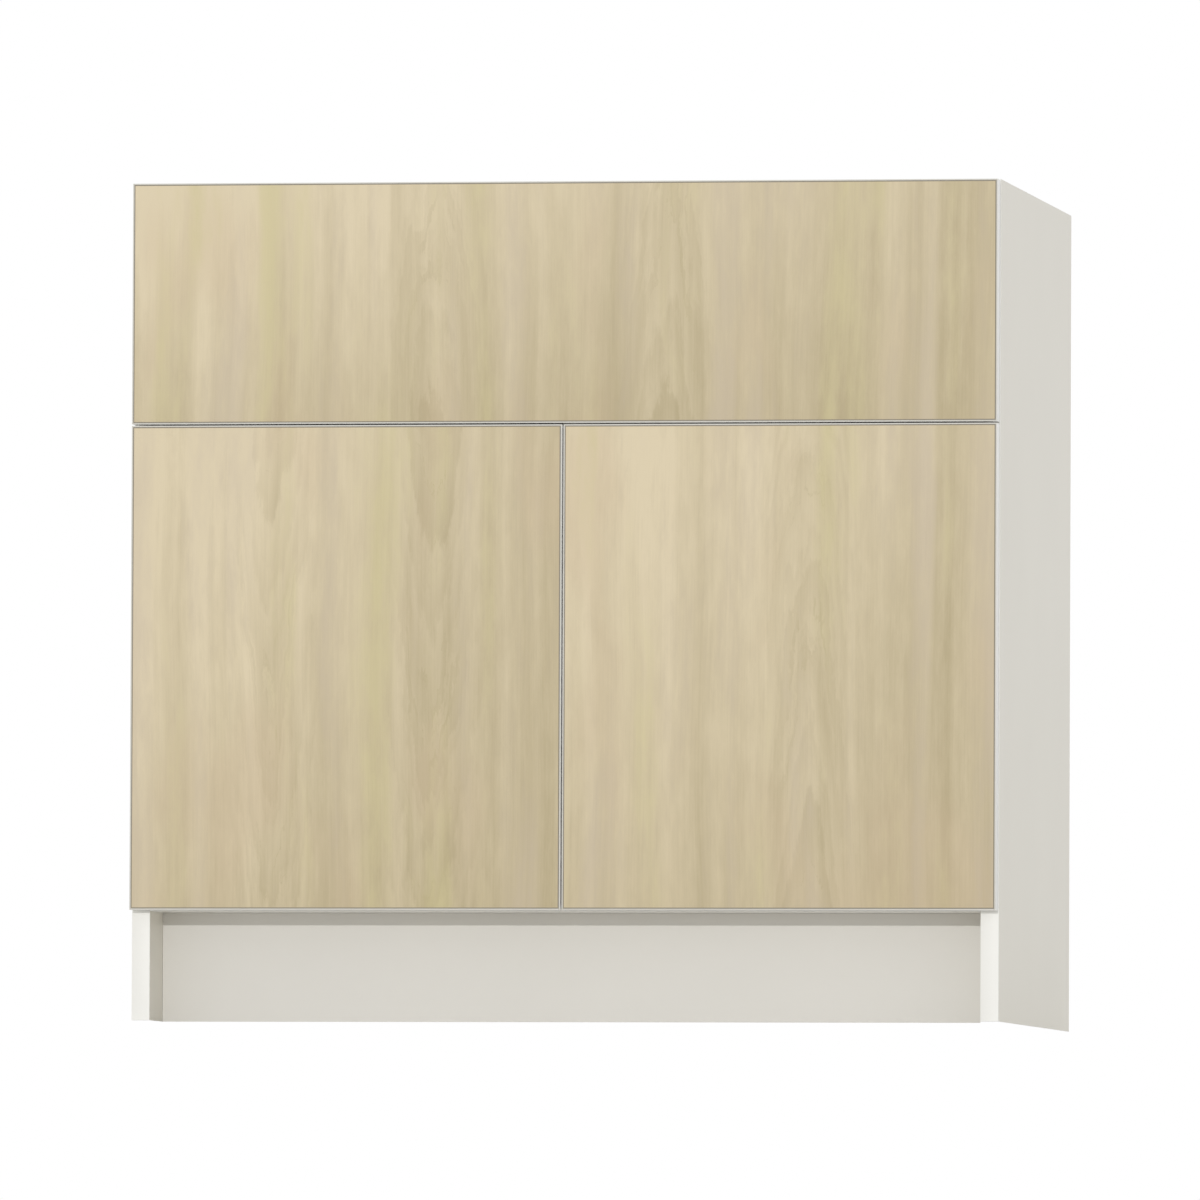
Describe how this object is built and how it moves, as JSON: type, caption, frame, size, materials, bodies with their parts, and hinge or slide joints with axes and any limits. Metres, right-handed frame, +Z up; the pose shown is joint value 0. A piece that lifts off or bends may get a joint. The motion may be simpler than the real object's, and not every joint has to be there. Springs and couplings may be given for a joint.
{
  "type": "sink base cabinet",
  "caption": "Kitchen sink base cabinet with a deep fixed false front over two full-overlay doors on concealed hinges, an open top for the bowl and a recessed toe kick.",
  "frame": {"origin": "on the floor, in the middle of the cabinet's width and depth", "axes": "+X to the right seen from the front, +Y from the doors to the wall, +Z up"},
  "size_m": [0.9144, 0.6096, 0.8763],
  "materials": {
    "front_laminate": "matt light wood-grain laminate, grain upright",
    "front_edge_band": "light grey 1.5 mm edge band",
    "carcass_melamine": "off-white melamine on particleboard",
    "carcass_edge_band": "white 1 mm edge band",
    "back_board": "off-white faced hardboard",
    "nickel_steel": "nickel-plated pressed steel",
    "zinc_steel": "zinc-plated steel",
    "clear_bumper": "frosted polyurethane"
  },
  "bodies": {
    "carcass": {"side_panel_left": "carcass_melamine", "side_panel_right": "carcass_melamine", "edge_band_side_left": "carcass_edge_band", "edge_band_side_right": "carcass_edge_band", "bottom_panel": "carcass_melamine", "edge_band_bottom": "carcass_edge_band", "back_panel": "back_board", "front_top_rail": "carcass_melamine", "mid_rail": "carcass_melamine", "rear_top_rail": "carcass_melamine", "rear_bottom_rail": "carcass_melamine", "toe_kick_board": "carcass_melamine", "rear_toe_rail": "carcass_melamine", "worktop_bracket_front_left": "zinc_steel", "worktop_bracket_front_right": "zinc_steel", "worktop_bracket_rear_left": "zinc_steel", "worktop_bracket_rear_right": "zinc_steel", "false_front": "front_laminate", "false_front_edge_band": "front_edge_band", "false_front_screw_upper_left": "zinc_steel", "false_front_screw_upper_right": "zinc_steel", "false_front_screw_lower_left": "zinc_steel", "false_front_screw_lower_right": "zinc_steel", "false_front_spacer_upper_left": "clear_bumper", "false_front_spacer_upper_right": "clear_bumper", "false_front_spacer_lower_left": "clear_bumper", "false_front_spacer_lower_right": "clear_bumper", "hinge_arm_upper_left": "nickel_steel", "hinge_arm_upper_right": "nickel_steel", "hinge_arm_lower_left": "nickel_steel", "hinge_arm_lower_right": "nickel_steel", "hinge_plate_upper_left": "nickel_steel", "hinge_plate_upper_right": "nickel_steel", "hinge_plate_lower_left": "nickel_steel", "hinge_plate_lower_right": "nickel_steel"},
    "outer_links_left": {"hinge_outer_link_upper_left": "nickel_steel", "hinge_outer_link_lower_left": "nickel_steel"},
    "door_left": {"door_left": "front_laminate", "door_left_edge_band": "front_edge_band", "door_bumper_upper_left": "clear_bumper", "door_bumper_lower_left": "clear_bumper", "hinge_cup_upper_left": "nickel_steel", "hinge_cup_lower_left": "nickel_steel"},
    "inner_links_left": {"hinge_inner_link_upper_left": "nickel_steel", "hinge_inner_link_lower_left": "nickel_steel"},
    "outer_links_right": {"hinge_outer_link_upper_right": "nickel_steel", "hinge_outer_link_lower_right": "nickel_steel"},
    "door_right": {"door_right": "front_laminate", "door_right_edge_band": "front_edge_band", "door_bumper_upper_right": "clear_bumper", "door_bumper_lower_right": "clear_bumper", "hinge_cup_upper_right": "nickel_steel", "hinge_cup_lower_right": "nickel_steel"},
    "inner_links_right": {"hinge_inner_link_upper_right": "nickel_steel", "hinge_inner_link_lower_right": "nickel_steel"}
  },
  "joints": [
    {"name": "outer_links_left_turn", "type": "hinge", "parent": "carcass", "child": "outer_links_left", "pos_m": [-0.42655, -0.27285, 0.3683], "axis": [0, 0, 1], "range_deg": [0, 29.7]},
    {"name": "door_left_swing", "type": "hinge", "parent": "outer_links_left", "child": "door_left", "pos_m": [-0.4467, -0.29325, 0.3683], "axis": [0, 0, -1], "range_deg": [0, 139.7]},
    {"name": "inner_links_left_turn", "type": "hinge", "parent": "door_left", "child": "inner_links_left", "pos_m": [-0.4426, -0.28995, 0.3683], "axis": [0, 0, 1], "range_deg": [0, 150.7]},
    {"name": "outer_links_right_turn", "type": "hinge", "parent": "carcass", "child": "outer_links_right", "pos_m": [0.42655, -0.27285, 0.3683], "axis": [0, 0, -1], "range_deg": [0, 29.7]},
    {"name": "door_right_swing", "type": "hinge", "parent": "outer_links_right", "child": "door_right", "pos_m": [0.4467, -0.29325, 0.3683], "axis": [0, 0, 1], "range_deg": [0, 139.7]},
    {"name": "inner_links_right_turn", "type": "hinge", "parent": "door_right", "child": "inner_links_right", "pos_m": [0.4426, -0.28995, 0.3683], "axis": [0, 0, -1], "range_deg": [0, 150.7]}
  ],
  "couplings": [
    {"joint": "outer_links_left_turn", "follows": "door_left_swing", "ratio": 0.2126},
    {"joint": "inner_links_left_turn", "follows": "door_left_swing", "ratio": 1.0787},
    {"joint": "outer_links_right_turn", "follows": "door_right_swing", "ratio": 0.2126},
    {"joint": "inner_links_right_turn", "follows": "door_right_swing", "ratio": 1.0787}
  ]
}
